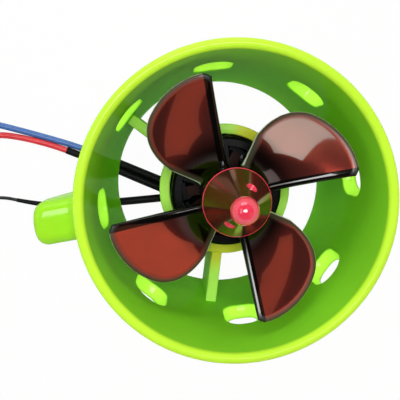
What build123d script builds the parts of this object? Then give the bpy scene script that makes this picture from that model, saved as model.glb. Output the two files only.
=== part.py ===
from build123d import *
import os
from math import cos, pi, radians, sin, tan

os.makedirs("parts", exist_ok=True)

# An underwater thruster that stands on its tail, with the intake and the propeller up.
# The origin is on the thruster's axis, at the flat tail face. Lengths are in millimetres.
past = 4.0               # how far a cut runs past the surface that it cuts

# Motor
can_r = 14.0
can_wall = 1.1
can_lift = 0.8           # can above the motor's base
bell_top = 31.6
bell_h = 4.6
bell_plate = 2.2
bell_round = 0.7
bell_boss_r = 5.0
bell_boss_taper = 0.6
bell_boss_h = 7.1
bell_windows = 6
bell_window_in = 6.8
bell_window_out = 11.6
bell_spoke = 3.2
shaft_r = 2.0
shaft_low = 1.2
shaft_edge = 0.3
base_gap = 0.6           # between the base's edge and the can's outside
base_t = 2.6
tube_r = 4.5
tube_gap = 0.5           # between the bearing tube and the bell's boss
race_r = 3.5
race_mid = 2.6
race_gap = 0.06          # running gap inside the bearings
race_relief = 0.2
race_lift = 0.6
bearing_w = 2.5
clip_t = 0.5
clip_r = 2.8
clip_groove = 0.3
clip_gap = 0.1
clip_slot = 1.6
screw_count = 4
screw_pcd = 19.0
screw_r = 1.5
screw_head_r = 2.8
screw_head_h = 1.5
screw_sunk = 0.3
screw_gap = 0.1
screw_hex_r = 1.1
screw_hex_deep = 1.05

# Stator and magnets
tooth_count = 12
air_gap = 0.4
stator_lift = 3.4        # stator above the motor's base
stator_h = 10.0
tooth_w = 1.6
tooth_in = 0.5           # how far a tooth runs into the core's ring and its shoe
shoe_t = 1.2
shoe_share = 0.8
core_ring = 1.1
coil_t = 0.55
coil_end = 1.2
coil_foot = 0.6
coil_shoe = 0.1
magnet_count = 14
magnet_t = 1.3
magnet_share = 0.82
magnet_lift = 2.9
magnet_h = 11.0

# Motor pod: cup and struts
pod_floor = 3.0
can_gap = 0.45           # between the spinning can and the cup
pod_wall = 2.7
pod_taper = 0.95
bell_gap = 0.85          # between the cup's edge and the bell
pod_round = 1.2
tail_hole_r = 4.6        # recess in the floor, under the shaft
tail_skin = 0.9
strut_count = 3
strut_w = 2.8
strut_drop = 1.05        # below the cup's edge
strut_lift = 1.0         # above the nozzle's exit
strut_turn = 16.3        # first strut, from +X
strut_in = 1.5

# Lead notch in the tail
notch_w = 8.4
notch_h = 2.4
notch_in = 10.5          # where it starts, from the axis
riser_w = 2.8
grommet_gap = 0.2        # above the floor that the thruster stands on

# Propeller
prop_r = 30.0
prop_low = 38.5          # lower end of the hub
prop_h = 16.8
hub_r = 7.3
hub_low_r = 6.4
hub_gap = 0.02           # between the hub's bore and the shaft
blade_count = 4
blade_turn = 94.0        # where the first blade's straight edge lies, from +X
blade_up = 8.7           # straight edge at the root, above the hub's lower end
blade_rake = 4.5         # how far the straight edge rises out to the tip
blade_pitch = 46.0       # at the root, in mm a turn
blade_tip_pitch = 36.0
blade_root_t = 2.4
blade_tip_t = 1.1
blade_sunk = 1.6         # into the hub
blade_stations = 4
pin_r = 1.0
pin_inset = 0.9          # from the hub's side to the pin's end
pin_up = 1.1
spacer_r = 5.6
spacer_taper = 1.0

# Spinner
spinner_step = 0.54      # from the hub's side to the spinner's
spinner_band = 0.6
spinner_h = 12.9
spinner_tip_r = 2.3
thread_h = 5.7
ball_r = 3.07
ball_up = 1.8
bar_hole_r = 1.2
bar_hole_up = 7.3
bar_hole_turn = 52.0

# Nozzle
rim_z = 58.0             # middle of the rounded intake lip
rim_r = 36.05            # outside of the lip
lip_w = 2.4              # width of the lip across its top
exit_z = 6.0             # lower edge of the nozzle
exit_r = 28.8            # inside of the exit
exit_wall = 1.4
belly_z = 34.5           # height at which the wall is thickest
belly_wall = 3.0

# Windows in the nozzle wall
window_count = 8
window_w = 9.5
window_h = 13.0
window_corner = 4.0

# Mounting lug on the nozzle's left
lug_reach = 46.6         # from the axis to the lug's end face
lug_w = 10.2
lug_top = 48.0
lug_end_h = 7.0          # height of the lug's end face
lug_heel = (40.8, 32.5)  # distance from the axis and height that the hollow underside passes
lug_low = (30.4, 13.0)   # the same where the underside ends, inside the wall
lug_in = 3.0             # how far the lug's root lies inside the wall
lug_round = 3.0
lug_edge = 1.2
lug_foot = 1.5
insert_r = 2.1
insert_bore = 1.25       # M3 thread, tap size
insert_len = 6.0

# Leads
lead_r = 0.9
thin_lead_r = 0.5
sleeve_r = 1.05
coil_lift = 0.5
tie_t = 0.5
tie_w = 2.4
tie_turn = 252.0         # where a coil's tie stands, from +X
plug_sunk = 0.3          # how far a connector presses into the coil that it lies on
plug_side = 0.78         # how far left on its coil a connector lies, as a share of the coil's radius
plug_back = 0.4          # how far before the coil's middle it starts, as the same share
lead_seat = 0.6          # how far a sleeve reaches into the grommet

# Sizes that follow from those above
base_top = pod_floor + base_t
base_r = can_r - base_gap
can_low = base_top + can_lift
can_in = can_r - can_wall
bell_z = bell_top - bell_h
bell_boss_low = bell_top - bell_boss_h
tube_top = bell_boss_low - tube_gap
rear_race_z = pod_floor + race_lift
front_race_z = tube_top - bearing_w
clip_z = rear_race_z - clip_t - clip_gap
stator_low = base_top + stator_lift
stator_r = can_in - magnet_t - air_gap
magnet_low = base_top + magnet_lift
bore_r = can_r + can_gap
pod_r = bore_r + pod_wall
pod_tail_r = pod_r - pod_taper
pod_z = bell_z - bell_gap
strut_top = pod_z - strut_drop
strut_low = exit_z + strut_lift
prop_top = prop_low + prop_h
blade_root_z = prop_low + blade_up
pin_z = prop_low + pin_up
pin_len = 2 * (hub_low_r - pin_inset)
spinner_r = hub_r + spinner_step
spinner_top = prop_top + spinner_h
thread_top = prop_top + thread_h
ball_z = spinner_top + ball_up
bar_hole_z = prop_top + bar_hole_up
lip_r = lip_w / 2
rim_in = rim_r - lip_w
lug_end_z = lug_top - lug_end_h
insert_z = lug_top - lug_end_h / 2


def save(part, name):
    part.label = name
    export_step(part, f"parts/{name}.step")


def upright(turn):
    """The plane that holds the axis and points outwards at an angle from +X."""
    a = radians(turn)
    return Plane(origin=(0, 0, 0), x_dir=(cos(a), sin(a), 0), z_dir=(sin(a), -cos(a), 0))


def facing(turn, z=0):
    """The plane through the axis that faces outwards at an angle from +X."""
    a = radians(turn)
    return Plane(origin=(0, 0, z), x_dir=(-sin(a), cos(a), 0), z_dir=(cos(a), sin(a), 0))


def wall_in(z):
    """The nozzle's inner radius, which grows evenly from the exit to the rim."""
    return exit_r + (rim_in - exit_r) * (z - exit_z) / (rim_z - exit_z)


# Nozzle: one revolved wall, thickest at its belly, with the lug on its left, cut by windows
with BuildPart() as bore_core:
    with BuildSketch(Plane.XZ):
        with BuildLine():
            Polyline((0, exit_z), (exit_r, exit_z), (rim_in, rim_z), (0, rim_z), close=True)
        make_face()
    revolve()

with BuildPart() as outside:
    with BuildSketch(Plane.XZ):
        with BuildLine():
            Polyline((exit_r, 0), (exit_r, exit_z), (rim_in, rim_z), (rim_in + past, rim_z), (rim_in + past, 0),
                     close=True)
        make_face()
    revolve()

with BuildPart() as nozzle:
    with BuildSketch(Plane.XZ):
        with BuildLine():
            Line((exit_r, exit_z), (rim_in, rim_z))
            ThreePointArc((rim_in, rim_z), (rim_r - lip_r, rim_z + lip_r), (rim_r, rim_z))
            ThreePointArc((rim_r, rim_z), (wall_in(belly_z) + belly_wall, belly_z), (exit_r + exit_wall, exit_z))
            Line((exit_r + exit_wall, exit_z), (exit_r, exit_z))
        make_face()
    revolve()
    with BuildSketch(Plane.XZ):
        with BuildLine():
            Polyline((-lug_low[0], lug_low[1]), (lug_in - rim_in, lug_low[1]), (lug_in - rim_in, lug_top),
                     (-lug_reach, lug_top), (-lug_reach, lug_end_z))
            ThreePointArc((-lug_reach, lug_end_z), (-lug_heel[0], lug_heel[1]), (-lug_low[0], lug_low[1]))
        make_face()
    extrude(amount=lug_w / 2, both=True)
    fillet(nozzle.edges().filter_by(Axis.Z).group_by(Axis.X)[0], lug_round)
    end_edges = nozzle.faces().group_by(Axis.X)[0].edges().sort_by(Axis.Z)
    fillet([end_edges[0], end_edges[-1]], lug_edge)
    by_the_lug = nozzle.edges().filter_by_position(Axis.X, -rim_r, -exit_r - belly_wall)
    fillet(by_the_lug.filter_by_position(Axis.Z, lug_low[1], lug_top - lug_edge), lug_foot)
    add(bore_core.part, mode=Mode.SUBTRACT)
    for n in range(window_count):
        behind_lug = 2 * n == window_count
        with BuildSketch(facing(360 / window_count * n, belly_z)):
            RectangleRounded(window_w, window_h, window_corner)
        extrude(amount=wall_in(belly_z) + belly_wall if behind_lug else rim_r + past, mode=Mode.SUBTRACT)
    with BuildSketch(Plane(origin=(-lug_reach, 0, insert_z), z_dir=(1, 0, 0))):
        Circle(insert_r)
    extrude(amount=insert_len, mode=Mode.SUBTRACT)
save(nozzle.part, "nozzle")

# Brass insert pressed into the lug
with BuildPart() as lug_insert:
    with BuildSketch(Plane(origin=(-lug_reach, 0, insert_z), z_dir=(1, 0, 0))):
        Circle(insert_r)
        Circle(insert_bore, mode=Mode.SUBTRACT)
    extrude(amount=insert_len)
save(lug_insert.part, "lug_inserts")

# Motor pod: a cup with a floor, and struts that run out to the nozzle's wall
with BuildPart() as motor_pod:
    with BuildSketch(Plane.XZ):
        with BuildLine():
            Polyline((0, 0), (pod_tail_r, 0), (pod_r, pod_z), (bore_r, pod_z), (bore_r, pod_floor), (0, pod_floor),
                     close=True)
        make_face()
    revolve()
    rims = motor_pod.edges().filter_by(GeomType.CIRCLE)
    fillet(rims.group_by(Axis.Z)[0], pod_round)
    for n in range(strut_count):
        with BuildSketch(upright(strut_turn + 360 / strut_count * n)):
            with Locations(((bore_r + strut_in + rim_in) / 2, (strut_top + strut_low) / 2)):
                Rectangle(rim_in - bore_r - strut_in, strut_top - strut_low)
        extrude(amount=strut_w / 2, both=True)
    add(outside.part, mode=Mode.SUBTRACT)
    with BuildSketch(Plane.XY.offset(tail_skin)):
        Circle(tail_hole_r)
    extrude(amount=pod_floor - tail_skin, mode=Mode.SUBTRACT)
    with BuildSketch(Plane.XY):
        with Locations((-(notch_in + riser_w / 2), 0)):
            Rectangle(riser_w, notch_w)
    extrude(amount=pod_floor, mode=Mode.SUBTRACT)
    with BuildSketch(Plane.XY):
        with Locations((-(notch_in + pod_r + past) / 2, 0)):
            Rectangle(pod_r + past - notch_in, notch_w)
    extrude(amount=notch_h, mode=Mode.SUBTRACT)
    with BuildSketch(Plane.XY):
        with PolarLocations(screw_pcd / 2, screw_count, 180 / screw_count):
            Circle(screw_r + screw_gap)
    extrude(amount=pod_floor, mode=Mode.SUBTRACT)
    with BuildSketch(Plane.XY):
        with PolarLocations(screw_pcd / 2, screw_count, 180 / screw_count):
            Circle(screw_head_r + screw_gap)
    extrude(amount=screw_sunk + screw_head_h, mode=Mode.SUBTRACT)
save(motor_pod.part, "motor_pod")

# Motor base with the bearing tube
with BuildPart() as motor_base:
    with BuildSketch(Plane.XY.offset(pod_floor)):
        Circle(base_r)
    extrude(amount=base_t)
    with BuildSketch(Plane.XY.offset(pod_floor)):
        Circle(tube_r)
    extrude(amount=tube_top - pod_floor)
    with BuildSketch(Plane.XY.offset(pod_floor)):
        Circle(race_mid + race_relief)
    extrude(amount=tube_top - pod_floor, mode=Mode.SUBTRACT)
    for low, high in ((pod_floor, rear_race_z + bearing_w), (front_race_z, tube_top)):
        with BuildSketch(Plane.XY.offset(low)):
            Circle(race_r)
        extrude(amount=high - low, mode=Mode.SUBTRACT)
    with BuildSketch(Plane.XY.offset(pod_floor)):
        with PolarLocations(screw_pcd / 2, screw_count, 180 / screw_count):
            Circle(screw_r)
    extrude(amount=base_t, mode=Mode.SUBTRACT)
save(motor_base.part, "motor_base")

with BuildPart() as base_screws:
    with BuildSketch(Plane.XY.offset(screw_sunk)):
        with PolarLocations(screw_pcd / 2, screw_count, 180 / screw_count):
            Circle(screw_head_r)
    extrude(amount=screw_head_h)
    with BuildSketch(Plane.XY.offset(screw_sunk)):
        with PolarLocations(screw_pcd / 2, screw_count, 180 / screw_count):
            RegularPolygon(screw_hex_r, 6)
    extrude(amount=screw_hex_deep, mode=Mode.SUBTRACT)
    with BuildSketch(Plane.XY.offset(screw_sunk + screw_head_h)):
        with PolarLocations(screw_pcd / 2, screw_count, 180 / screw_count):
            Circle(screw_r)
    extrude(amount=base_top - screw_sunk - screw_head_h)
save(base_screws.part, "base_screws")

# Bearings: the outer race with its shield stands still, the inner race turns
for name, z in (("rear_bearing", rear_race_z), ("front_bearing", front_race_z)):
    with BuildPart() as race:
        with BuildSketch(Plane.XY.offset(z)):
            Circle(race_r)
            Circle(race_mid + race_gap, mode=Mode.SUBTRACT)
        extrude(amount=bearing_w)
    save(race.part, name + "_outer")
    with BuildPart() as race:
        with BuildSketch(Plane.XY.offset(z)):
            Circle(race_mid)
            Circle(shaft_r, mode=Mode.SUBTRACT)
        extrude(amount=bearing_w)
    save(race.part, name + "_inner")

# Stator: a laminated core of teeth with shoes, and a winding on each tooth
shoe_in = stator_r - shoe_t
core_r = tube_r + core_ring
shoe_w = 2 * pi * stator_r / tooth_count * shoe_share

with BuildPart() as stator_core:
    with BuildSketch(Plane.XY.offset(stator_low)):
        with PolarLocations(0, tooth_count):
            with Locations(((shoe_in + stator_r) / 2, 0)):
                Rectangle(shoe_t, shoe_w)
        Circle(stator_r, mode=Mode.INTERSECT)
        with PolarLocations(0, tooth_count):
            with Locations(((core_r + shoe_in) / 2, 0)):
                Rectangle(shoe_in - core_r + 2 * tooth_in, tooth_w)
        Circle(core_r)
        Circle(tube_r, mode=Mode.SUBTRACT)
    extrude(amount=stator_h)
save(stator_core.part, "stator_core")

coil_in = core_r + coil_foot
coil_out = shoe_in - coil_shoe
with BuildPart() as stator_windings:
    with BuildSketch(Plane.XY.offset(stator_low - coil_end)):
        with PolarLocations(0, tooth_count):
            with Locations(((coil_in + coil_out) / 2, 0)):
                Rectangle(coil_out - coil_in, tooth_w + 2 * coil_t)
    extrude(amount=stator_h + 2 * coil_end)
    with BuildSketch(Plane.XY.offset(stator_low)):
        with PolarLocations(0, tooth_count):
            with Locations(((coil_in + coil_out) / 2, 0)):
                Rectangle(coil_out - coil_in + past, tooth_w)
    extrude(amount=stator_h, mode=Mode.SUBTRACT)
save(stator_windings.part, "stator_windings")

# Rotor: can, magnets, bell, shaft with its clip
with BuildPart() as flux_ring:
    with BuildSketch(Plane.XY.offset(can_low)):
        Circle(can_r)
        Circle(can_in, mode=Mode.SUBTRACT)
    extrude(amount=bell_z - can_low)
save(flux_ring.part, "flux_ring")

slot_r = can_in + past / 2
with BuildPart() as rotor_magnets:
    with BuildSketch(Plane.XY.offset(magnet_low)):
        Circle(can_in)
        Circle(can_in - magnet_t, mode=Mode.SUBTRACT)
        with PolarLocations(slot_r / 2, magnet_count):
            Rectangle(slot_r, 2 * pi * can_in / magnet_count * (1 - magnet_share), mode=Mode.SUBTRACT)
    extrude(amount=magnet_h)
save(rotor_magnets.part, "rotor_magnets")

with BuildPart() as rotor_bell:
    with BuildSketch(Plane.XZ):
        with BuildLine():
            Polyline((shaft_r, bell_boss_low), (bell_boss_r - bell_boss_taper, bell_boss_low),
                     (bell_boss_r, bell_top - bell_plate), (can_in, bell_top - bell_plate), (can_in, bell_z),
                     (can_r, bell_z), (can_r, bell_top - bell_round), (can_r - bell_round, bell_top),
                     (shaft_r, bell_top), close=True)
        make_face()
    revolve()
    with BuildSketch(Plane.XY.offset(bell_top - bell_plate)):
        Circle(bell_window_out)
        Circle(bell_window_in, mode=Mode.SUBTRACT)
        with PolarLocations(can_r / 2, bell_windows, 180 / bell_windows):
            Rectangle(can_r, bell_spoke, mode=Mode.SUBTRACT)
    extrude(amount=bell_plate, mode=Mode.SUBTRACT)
save(rotor_bell.part, "rotor_bell")

groove_r = shaft_r - clip_groove
with BuildPart() as motor_shaft:
    with BuildSketch(Plane.XY.offset(shaft_low)):
        Circle(shaft_r)
    extrude(amount=thread_top - shaft_low)
    chamfer(motor_shaft.edges().filter_by(GeomType.CIRCLE), shaft_edge)
    with BuildSketch(Plane.XY.offset(clip_z)):
        Circle(shaft_r + past)
        Circle(groove_r, mode=Mode.SUBTRACT)
    extrude(amount=clip_t, mode=Mode.SUBTRACT)
    with BuildSketch(Plane.YZ.offset(-pin_len / 2)):
        with Locations((0, pin_z)):
            Circle(pin_r)
    extrude(amount=pin_len, mode=Mode.SUBTRACT)
save(motor_shaft.part, "motor_shaft")

with BuildPart() as shaft_clip:
    with BuildSketch(Plane.XY.offset(clip_z)):
        Circle(clip_r)
        Circle(groove_r, mode=Mode.SUBTRACT)
        with Locations((clip_r, 0)):
            Rectangle(2 * clip_r, clip_slot, mode=Mode.SUBTRACT)
    extrude(amount=clip_t)
save(shaft_clip.part, "shaft_clip")

with BuildPart() as prop_spacer:
    with BuildSketch(Plane.XZ):
        with BuildLine():
            Polyline((shaft_r, bell_top), (spacer_r, bell_top), (spacer_r - spacer_taper, prop_low),
                     (shaft_r, prop_low), close=True)
        make_face()
    revolve()
save(prop_spacer.part, "prop_spacer")

with BuildPart() as drive_pin:
    with BuildSketch(Plane.YZ.offset(-pin_len / 2)):
        with Locations((0, pin_z)):
            Circle(pin_r)
    extrude(amount=pin_len)
save(drive_pin.part, "drive_pin")

# Propeller: each blade is lofted through sections that contain the axis, from its straight edge to its round one
# Each row holds the angle from the straight edge, the blade's reach there as a share of prop_r, and how full it is
outline = [(0.0, 0.963, 0.55), (3.0, 0.995, 0.9), (9.0, 1.0, 1.0), (19.0, 0.983, 1.0), (30.0, 0.94, 0.95),
           (39.0, 0.883, 0.85), (46.5, 0.787, 0.7), (52.0, 0.667, 0.55), (56.0, 0.533, 0.4)]
blade_in = hub_low_r - blade_sunk


def blade_z(r, turn):
    share = (r - hub_r) / (prop_r - hub_r)
    pitch = blade_pitch + (blade_tip_pitch - blade_pitch) * share
    return blade_root_z + blade_rake * share * abs(share) - pitch * turn / 360


def blade_half(r):
    return (blade_root_t + (blade_tip_t - blade_root_t) * (r - hub_r) / (prop_r - hub_r)) / 2


with BuildPart() as blade:
    for turn, reach, full in outline:
        radii = [blade_in + (reach * prop_r - blade_in) * n / blade_stations for n in range(blade_stations + 1)]
        top = [(r, blade_z(r, turn) + full * blade_half(r)) for r in radii]
        low = [(r, blade_z(r, turn) - full * blade_half(r)) for r in radii]
        with BuildSketch(upright(blade_turn + turn)):
            with BuildLine():
                Spline(*top)
                Line(top[-1], low[-1])
                Spline(*low[::-1])
                Line(low[0], top[0])
            make_face()
    loft()

with BuildPart() as propeller:
    with BuildSketch(Plane.XZ):
        with BuildLine():
            Polyline((0, prop_low), (hub_low_r, prop_low), (hub_r, (prop_low + prop_top) / 2), (hub_r, prop_top),
                     (0, prop_top), close=True)
        make_face()
    revolve()
    for n in range(blade_count):
        add(blade.part.rotate(Axis.Z, 360 / blade_count * n))
    with BuildSketch(Plane.XY.offset(prop_low)):
        Circle(shaft_r + hub_gap)
    extrude(amount=prop_h, mode=Mode.SUBTRACT)
    with BuildSketch(Plane.YZ.offset(-pin_len / 2)):
        with Locations((0, (prop_low + pin_z) / 2)):
            Rectangle(2 * pin_r, pin_z - prop_low)
        with Locations((0, pin_z)):
            Circle(pin_r)
    extrude(amount=pin_len, mode=Mode.SUBTRACT)
save(propeller.part, "propeller")

# Spinner nut with its cross hole, and the ball on its tip
with BuildPart() as spinner_nut:
    with BuildSketch(Plane.XZ):
        with BuildLine():
            Polyline((0, prop_top), (spinner_r, prop_top), (spinner_r, prop_top + spinner_band),
                     (spinner_tip_r, spinner_top), (0, spinner_top), close=True)
        make_face()
    revolve()
    with BuildSketch(Plane.XY.offset(prop_top)):
        Circle(shaft_r)
    extrude(amount=thread_top - prop_top, mode=Mode.SUBTRACT)
    with BuildSketch(facing(bar_hole_turn, bar_hole_z)):
        Circle(bar_hole_r)
    extrude(amount=spinner_r, both=True, mode=Mode.SUBTRACT)
save(spinner_nut.part, "spinner_nut")

with BuildPart() as spinner_ball:
    with Locations((0, 0, ball_z)):
        Sphere(ball_r)
    with BuildSketch(Plane.XY.offset(spinner_top)):
        Circle(ball_r + past)
    extrude(amount=-2 * ball_r, mode=Mode.SUBTRACT)
save(spinner_ball.part, "spinner_ball")


# Leads: each has a shrink sleeve from the grommet, a tube to the coil, the coil with its tie, and a bullet connector
def tube(route, r, name):
    points = [Vector(x, y, r) for x, y in route]
    radii = []
    for a, b, c in zip(points, points[1:], points[2:]):
        turn = radians((b - a).get_angle(c - b))
        radii.append(0.45 * min((b - a).length, (c - b).length) / tan(turn / 2))
    print(name, "radii", [round(x, 1) for x in radii])
    with BuildPart() as piece:
        with BuildLine() as path:
            FilletPolyline(*points, radius=radii)
        with BuildSketch(Plane(origin=path.line @ 0, z_dir=path.line % 0)):
            Circle(r)
        sweep()
    along = sum(edge.length for edge in path.edges())
    print(name, "length", round(along, 1), "volume share", round(piece.part.volume / (pi * r * r * along), 4))
    save(piece.part, name)
    return piece.part


def bullet(start, r, length, name):
    # Radius and distance from the lead's end, as shares of the radius and the length
    profile = [(0.0, 0.0), (0.55, 0.0), (1.0, 0.08), (1.0, 0.52), (0.75, 0.54), (0.8, 0.9), (0.4, 1.0), (0.0, 1.0)]
    with BuildPart() as piece:
        with BuildSketch(Plane(origin=start, x_dir=(0, 0, 1), z_dir=(-1, 0, 0))):
            with BuildLine():
                Polyline(*[(r * wide, length * far) for wide, far in profile], close=True)
            make_face()
        revolve(axis=Axis(start, (0, 1, 0)))
    save(piece.part, name + "_bullet")
    return piece.part


def coil(centre, ring_r, half, high, seats, name):
    with BuildPart() as bundle:
        with BuildSketch(Plane.XZ.offset(-centre[1])):
            with Locations((centre[0] + ring_r, coil_lift + high / 2)):
                RectangleRounded(2 * half, high, min(half, high / 2) * 0.6)
        revolve(axis=Axis((centre[0], centre[1], 0), (0, 0, 1)))
        for seat in seats:
            add(seat, mode=Mode.SUBTRACT)
    save(bundle.part, name + "_coil")
    a = radians(tie_turn)
    with BuildPart() as tie:
        with BuildSketch(Plane(origin=(*centre, 0), x_dir=(0, 0, 1), z_dir=(-sin(a), cos(a), 0))):
            with Locations((coil_lift + high / 2, ring_r)):
                Rectangle(high + 2 * tie_t, 2 * (half + tie_t))
        extrude(amount=tie_w / 2, both=True)
        add(bundle.part, mode=Mode.SUBTRACT)
    save(tie.part, name + "_tie")


# Routes along the floor: the sleeve, then the bare lead up to its coil
sleeve_start = -(pod_tail_r - lead_seat)
routes = {
    "blue": (lead_r,
             [(sleeve_start, 1.65), (-21.0, 4.75), (-28.6, 9.15), (-35.5, 12.9)],
             [(-35.5, 12.9), (-39.5, 15.1), (-43.9, 17.4), (-49.3, 19.9), (-54.9, 22.1), (-60.7, 24.15), (-67.1, 26.1),
              (-73.1, 28.3)],
             (-76.5, 37.9), 9.0, 2.0, 4.5, 2.2, 15.0),
    "red": (lead_r,
            [(sleeve_start, -0.85), (-22.0, 2.8), (-28.8, 6.8), (-35.7, 10.5), (-42.5, 13.8)],
            [(-42.5, 13.8), (-48.2, 16.6), (-55.0, 19.2), (-61.2, 20.7), (-68.0, 21.8), (-74.6, 22.6)],
            (-81.85, 15.4), 9.0, 2.0, 4.5, 2.2, 15.0),
    "black": (thin_lead_r,
              [(sleeve_start, -3.1), (-26.5, -2.8), (-38.0, -2.2), (-48.5, -1.35), (-54.0, -0.35), (-58.8, 1.0)],
              [(-58.8, 1.0), (-62.0, 1.85), (-65.9, 2.2), (-69.6, 0.6), (-71.75, -2.7)],
              (-76.9, -6.5), 5.5, 1.5, 3.0, 1.5, 11.0),
}

sleeves = []
for name, (r, covered, bare, centre, ring_r, half, high, plug_r, plug_len) in routes.items():
    sleeves.append(tube(covered, sleeve_r, name + "_sleeve"))
    lead = tube(bare, r, name + "_lead")
    start = (centre[0] - plug_side * ring_r, centre[1] - plug_back * ring_r,
             coil_lift + high + plug_r - plug_sunk)
    plug = bullet(start, plug_r, plug_len, name)
    coil(centre, ring_r, half, high, [lead, plug], name)

# Grommet that fills the notch and the riser, round the sleeves
with BuildPart() as lead_grommet:
    with BuildSketch(Plane.XY.offset(grommet_gap)):
        with Locations((-(notch_in + pod_tail_r) / 2, 0)):
            Rectangle(pod_tail_r - notch_in, notch_w)
    extrude(amount=notch_h - grommet_gap)
    with BuildSketch(Plane.XY.offset(grommet_gap)):
        with Locations((-(notch_in + riser_w / 2), 0)):
            Rectangle(riser_w, notch_w)
    extrude(amount=pod_floor - grommet_gap)
    for sleeve in sleeves:
        add(sleeve, mode=Mode.SUBTRACT)
save(lead_grommet.part, "lead_grommet")
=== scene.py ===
from math import atan2, cos, degrees, pi, radians, sin, sqrt, tan

import bmesh
import bpy
from mathutils import Matrix, Vector


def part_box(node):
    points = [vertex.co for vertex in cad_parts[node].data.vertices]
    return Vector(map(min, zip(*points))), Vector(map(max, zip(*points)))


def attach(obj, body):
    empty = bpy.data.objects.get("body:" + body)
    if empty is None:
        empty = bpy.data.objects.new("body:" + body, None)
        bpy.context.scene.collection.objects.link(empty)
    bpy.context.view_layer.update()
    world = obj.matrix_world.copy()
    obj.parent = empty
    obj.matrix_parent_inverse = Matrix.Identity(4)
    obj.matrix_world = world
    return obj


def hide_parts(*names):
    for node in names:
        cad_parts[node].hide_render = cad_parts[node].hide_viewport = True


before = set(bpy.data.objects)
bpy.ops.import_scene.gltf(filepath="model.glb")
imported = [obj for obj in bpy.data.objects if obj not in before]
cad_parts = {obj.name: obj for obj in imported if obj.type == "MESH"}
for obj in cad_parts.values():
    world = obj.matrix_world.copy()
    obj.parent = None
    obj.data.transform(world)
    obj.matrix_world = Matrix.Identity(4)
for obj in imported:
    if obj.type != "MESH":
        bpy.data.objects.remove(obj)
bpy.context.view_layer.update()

bl_info = {
    "name": "Underwater Thruster",
    "version": (1, 0, 0),
    "blender": (4, 5, 0),
    "location": "3D View > Sidebar > Thruster",
    "description": "Dresses the packed thruster: nozzle, pod, motor, propeller, spinner and leads",
    "category": "Add Mesh",
}

mm = 0.001

# The CAD's own sizes, read from the frame
nozzle_low, nozzle_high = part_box("nozzle")
pod_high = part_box("motor_pod")[1]
prop_low, prop_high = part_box("propeller")
spinner_low, spinner_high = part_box("spinner_nut")
ball_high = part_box("spinner_ball")[1]
insert_low, insert_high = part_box("lug_inserts")


def length(label, text, default):
    """A length, with its default in millimetres."""
    return bpy.props.FloatProperty(name=label, description=text, default=default * mm, unit="LENGTH",
                                   precision=5)


def angle(label, text, default):
    """An angle, with its default in degrees."""
    return bpy.props.FloatProperty(name=label, description=text, default=radians(default), subtype="ANGLE")


def number(label, text, default):
    return bpy.props.FloatProperty(name=label, description=text, default=default)


def pixel(label, text, default):
    return bpy.props.FloatVectorProperty(name=label, description=text, default=default, size=2)


def colour(label, text, default):
    return bpy.props.FloatVectorProperty(name=label, description=text, default=default, subtype="COLOR",
                                         size=3, min=0.0, max=1.0)


class ThrusterSizes(bpy.types.PropertyGroup):
    lip: length("Lip", "Width of the rounded intake lip", 2.4)
    exit_radius: length("Exit radius", "Inside of the nozzle at its exit", 28.8)
    exit_wall: length("Exit wall", "Wall of the nozzle at its exit", 1.4)
    belly_wall: length("Belly wall", "Wall of the nozzle where it is thickest", 3.5)
    belly_height: length("Belly height", "Height of the windows and of the thickest wall", 34.5)
    window_width: length("Window width", "Width of each window", 9.5)
    window_height: length("Window height", "Height of each window", 13.0)
    window_corner: length("Window corner", "Corner radius of each window", 4.0)
    window_flare: length("Window flare", "Rounding of the windows' edges", 0.45)
    window_draft: length("Window draft", "How much smaller the windows are outside, on each side", 0.95)
    lug_width: length("Lug width", "Width of the mounting lug", 10.2)
    lug_top: length("Lug top", "Height of the lug's upper side", 48.0)
    lug_heel: length("Lug heel", "Height that the lug's hollow underside passes", 32.5)
    lug_heel_reach: length("Lug heel reach", "Distance from the axis at that height", 40.8)
    lug_low: length("Lug low", "Height at which the lug's underside meets the wall", 13.0)
    lug_low_reach: length("Lug low reach", "Distance from the axis at that height", 30.4)
    lug_end: length("Lug end", "Height of the lug's end face", 7.0)
    lug_round: length("Lug rounding", "Rounding of the lug's upright edges", 3.0)
    lug_edge: length("Lug edge", "Rounding of the lug's other edges at its end", 1.3)
    lug_crown: length("Lug crown", "Rounding of the lug's long edges", 2.6)
    lug_foot: length("Lug foot", "How far the lug's foot flares onto the wall", 2.2)
    lug_lean: length("Lug lean", "How far the lug's end stands towards the front", 0.55)
    cup_wall: length("Cup wall", "Wall of the cup round the motor", 2.7)
    cup_taper: length("Cup taper", "How much narrower the cup's tail is", 0.95)
    cup_radius: length("Cup radius", "Outside of the cup at its edge", 17.15)
    strut_width: length("Strut width", "Width of the pod's struts", 2.8)
    strut_top: length("Strut top", "Height of the struts' upper side", 25.1)
    hub_radius: length("Hub radius", "Radius of the propeller's hub", 7.3)
    blade_height: length("Blade height", "Height of a blade's straight edge at the hub", 47.2)
    root_pitch: length("Root pitch", "Fall of a blade in a full turn, at the hub", 46.0)
    tip_pitch: length("Tip pitch", "Fall of a blade in a full turn, at its tip", 36.0)
    blade_rake: length("Blade rake", "Rise of a blade's straight edge out to its tip", 4.5)
    blade_root: length("Blade root", "Thickness of a blade at the hub", 2.4)
    blade_tip: length("Blade tip", "Thickness of a blade at its tip", 1.1)
    blade_edge: length("Blade edge", "Width over which a blade's edge rounds off", 1.2)
    spinner_band: length("Spinner band", "Height of the bead round the spinner's base", 0.6)
    spinner_tip: length("Spinner tip", "Radius of the spinner under the ball", 2.3)
    bar_hole: length("Bar hole", "Radius of the spinner's cross hole", 1.2)
    bar_hole_height: length("Bar hole height", "Height of the spinner's cross hole", 62.6)
    bar_hole_turn: angle("Bar hole turn", "Way that the cross hole points", 52)


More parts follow.
